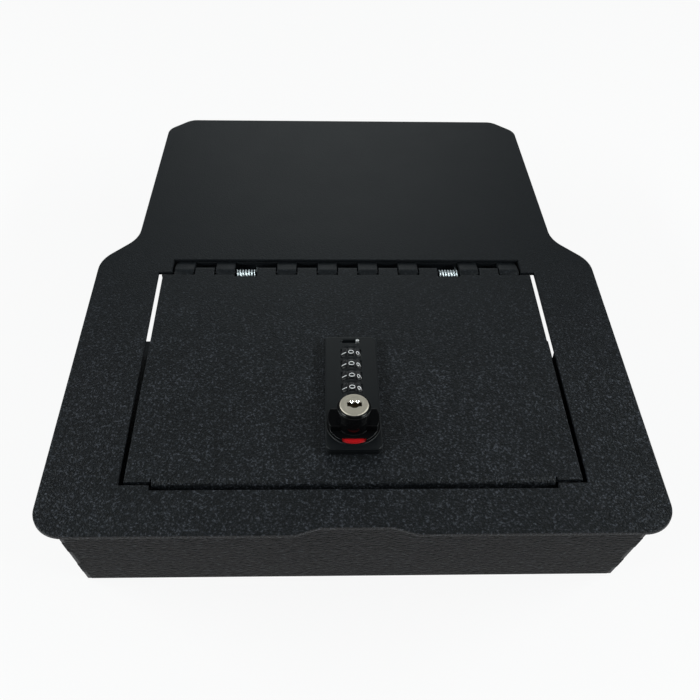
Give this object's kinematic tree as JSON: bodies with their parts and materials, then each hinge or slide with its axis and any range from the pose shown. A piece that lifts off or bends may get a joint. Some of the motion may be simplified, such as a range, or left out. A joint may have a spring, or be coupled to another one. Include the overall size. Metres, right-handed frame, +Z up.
{
  "type": "console safe",
  "caption": "Drop-in console safe: shouldered black steel cover plate over a welded box, with a piano-hinged door, a number-wheel lock and a thumb knob with a key cylinder.",
  "frame": {"origin": "centre of the bounding box, at the underside of the box", "axes": "+X to the right, +Y from the lock towards the hinge and rear plate, +Z up"},
  "size_m": [0.38, 0.4586, 0.1159],
  "materials": {
    "textured_black": "textured satin black powder coat",
    "zinc_steel": "bright zinc plate",
    "black_oxide": "black oxide",
    "spring_zinc": "zinc-plated spring wire",
    "spring_steel": "bare spring steel",
    "bumper_rubber": "matte black rubber",
    "lock_black": "fine satin black",
    "case_black": "satin black die casting",
    "knob_black": "glossy black",
    "wheel_black": "semi-gloss black",
    "status_red": "printed red and white",
    "key_nickel": "satin nickel"
  },
  "bodies": {
    "safe": {"top_plate": "textured_black", "front_wall": "textured_black", "left_wall": "textured_black", "right_wall": "textured_black", "floor_plate": "textured_black", "rear_wall": "textured_black", "hinge_leaf": "textured_black", "hinge_rod": "black_oxide", "left_spring": "spring_zinc", "right_spring": "spring_zinc", "strike": "textured_black", "door_stops": "textured_black", "bumpers": "bumper_rubber"},
    "door": {"door_panel": "textured_black", "lock_face": "lock_black", "lock_case": "case_black", "case_screws": "zinc_steel", "wheel_axle": "zinc_steel", "detent_spring": "spring_steel", "status_ring": "status_red"},
    "code_slider": {"code_slider": "zinc_steel"},
    "wheel_1": {"number_wheel_1": "wheel_black"},
    "wheel_2": {"number_wheel_2": "wheel_black"},
    "wheel_3": {"number_wheel_3": "wheel_black"},
    "wheel_4": {"number_wheel_4": "wheel_black"},
    "knob": {"thumb_knob": "knob_black", "spindle": "zinc_steel", "key_cylinder": "key_nickel", "cam": "zinc_steel", "cam_washer": "zinc_steel", "cam_nut": "zinc_steel"},
    "key": {"key_plug": "key_nickel"}
  },
  "joints": [
    {"name": "door_hinge", "type": "hinge", "parent": "safe", "child": "door", "pos_m": [0, 0.011, 0.08645], "axis": [-1, 0, 0], "range_deg": [0, 92]},
    {"name": "code_change", "type": "slide", "parent": "door", "child": "code_slider", "axis": [-1, 0, 0], "range_m": [0, 0.0096]},
    {"name": "number_1", "type": "hinge", "parent": "door", "child": "wheel_1", "pos_m": [0, -0.1186, 0.0908], "axis": [0, 1, 0], "continuous": true},
    {"name": "number_2", "type": "hinge", "parent": "door", "child": "wheel_2", "pos_m": [0, -0.1077, 0.0908], "axis": [0, 1, 0], "continuous": true},
    {"name": "number_3", "type": "hinge", "parent": "door", "child": "wheel_3", "pos_m": [0, -0.0968, 0.0908], "axis": [0, 1, 0], "continuous": true},
    {"name": "number_4", "type": "hinge", "parent": "door", "child": "wheel_4", "pos_m": [0, -0.0859, 0.0908], "axis": [0, 1, 0], "continuous": true},
    {"name": "thumb_turn", "type": "hinge", "parent": "door", "child": "knob", "pos_m": [0, -0.1496, 0.092], "axis": [0, 0, -1], "range_deg": [0, 90]},
    {"name": "key_turn", "type": "hinge", "parent": "knob", "child": "key", "pos_m": [0, -0.1496, 0.11], "axis": [0, 0, -1], "range_deg": [0, 90]}
  ]
}
